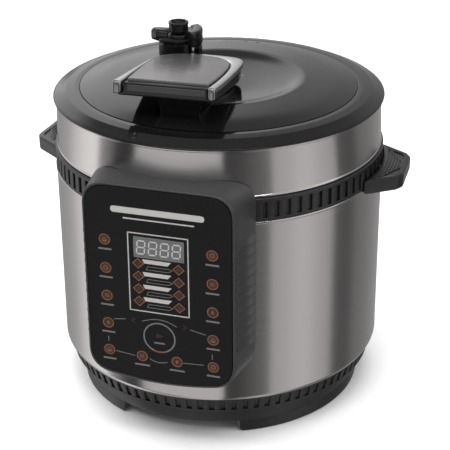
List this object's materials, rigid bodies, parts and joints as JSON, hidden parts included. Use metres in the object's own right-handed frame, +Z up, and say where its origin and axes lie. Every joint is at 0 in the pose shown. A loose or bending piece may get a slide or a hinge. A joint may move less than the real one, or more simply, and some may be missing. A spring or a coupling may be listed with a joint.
{
  "type": "electric pressure cooker",
  "caption": "Round electric pressure cooker: brushed steel casing, black bayonet lid with raised handle and steam valve, side handles, tall front touch panel and rear condensate cup.",
  "frame": {"origin": "on the pot's axis, on the surface the cooker stands on", "axes": "+Z up, -Y towards the user (control panel), +X along the carrying handles"},
  "size_m": [0.3272, 0.32, 0.3081],
  "materials": {
    "brushed_steel": "horizontally brushed stainless steel, satin",
    "pressed_steel": "pressed or turned steel, plain",
    "cast_aluminium": "cast aluminium, matt",
    "lid_black": "glossy black moulded plastic",
    "black_plastic": "black moulded plastic, fine satin grain",
    "grey_satin": "grey metallic-effect satin plastic",
    "panel_grey": "dark metallic grey moulded plastic",
    "silver_trim": "brushed silver trim",
    "bright_metal": "bright metal",
    "touch_glass": "black back-printed gloss front",
    "display_glass": "dark display",
    "silicone": "translucent white silicone",
    "rubber": "black rubber",
    "cable_jacket": "black cable jacket",
    "non_stick": "dark non-stick coating",
    "circuit_board": "green circuit board",
    "clear_plastic": "clear moulded plastic"
  },
  "bodies": {
    "root": {"base_shell": "black_plastic", "foot_pad_1": "rubber", "foot_pad_2": "rubber", "foot_pad_3": "rubber", "foot_pad_4": "rubber", "base_vent_ring": "black_plastic", "bottom_cover": "pressed_steel", "bottom_cover_screw_1": "pressed_steel", "bottom_cover_screw_2": "pressed_steel", "bottom_cover_screw_3": "pressed_steel", "bottom_cover_screw_4": "pressed_steel", "lower_shell": "brushed_steel", "collar_ring": "black_plastic", "upper_band": "brushed_steel", "top_frame": "black_plastic", "side_handle_right": "black_plastic", "side_handle_right_screw": "pressed_steel", "side_handle_left": "black_plastic", "side_handle_left_screw": "pressed_steel", "inner_pot": "non_stick", "outer_pot": "pressed_steel", "locking_ring": "pressed_steel", "chassis_plate": "pressed_steel", "heating_plate": "cast_aluminium", "heating_element": "pressed_steel", "sensor_spring": "pressed_steel", "sensor_holder": "pressed_steel", "thermal_fuse": "bright_metal", "power_board": "circuit_board", "pressure_switch": "black_plastic", "display_module": "display_glass", "control_board": "circuit_board", "control_lead": "cable_jacket", "power_inlet": "black_plastic", "panel_housing": "panel_grey", "touch_panel": "touch_glass", "cup_bracket": "black_plastic"},
    "seal": {"sealing_gasket": "silicone", "gasket_carrier": "pressed_steel"},
    "lid": {"lid_cover": "lid_black", "lid_outer_ring": "lid_black", "inner_lid": "pressed_steel", "vent_pipe": "pressed_steel", "anti_block_shield": "pressed_steel", "float_seal": "silicone", "lid_handle_plate": "grey_satin", "lid_handle_body": "black_plastic", "lid_handle_fascia": "black_plastic", "lid_handle_trim_left": "silver_trim", "lid_handle_trim_right": "silver_trim", "lid_handle_pedestal": "black_plastic", "lid_handle_screw_1": "pressed_steel", "lid_handle_screw_2": "pressed_steel"},
    "steam_valve_body": {"steam_valve": "black_plastic", "steam_valve_cap": "black_plastic"},
    "float": {"float_pin": "bright_metal"},
    "cup": {"condensate_cup": "clear_plastic"},
    "sensor": {"temperature_sensor": "cast_aluminium"}
  },
  "joints": [
    {"name": "lid_lift", "type": "slide", "parent": "root", "child": "seal", "axis": [0, 0, 1], "range_m": [0, 0.15]},
    {"name": "lid_turn", "type": "hinge", "parent": "seal", "child": "lid", "pos_m": [0, 0, 0.262], "axis": [0, 0, 1], "range_deg": [-22.5, 0]},
    {"name": "steam_valve_turn", "type": "hinge", "parent": "lid", "child": "steam_valve_body", "pos_m": [-0.048, 0.037, 0.28], "axis": [0, 0, 1], "range_deg": [0, 40]},
    {"name": "float_rise", "type": "slide", "parent": "lid", "child": "float", "axis": [0, 0, 1], "range_m": [0, 0.004]},
    {"name": "cup_slide", "type": "slide", "parent": "root", "child": "cup", "axis": [0, 1, 0], "range_m": [0, 0.04]},
    {"name": "sensor_press", "type": "slide", "parent": "root", "child": "sensor", "axis": [0, 0, 1], "range_m": [-0.003, 0], "stiffness_N_per_m": 300, "springref_m": 0.003, "deforming": ["sensor_spring"]}
  ]
}
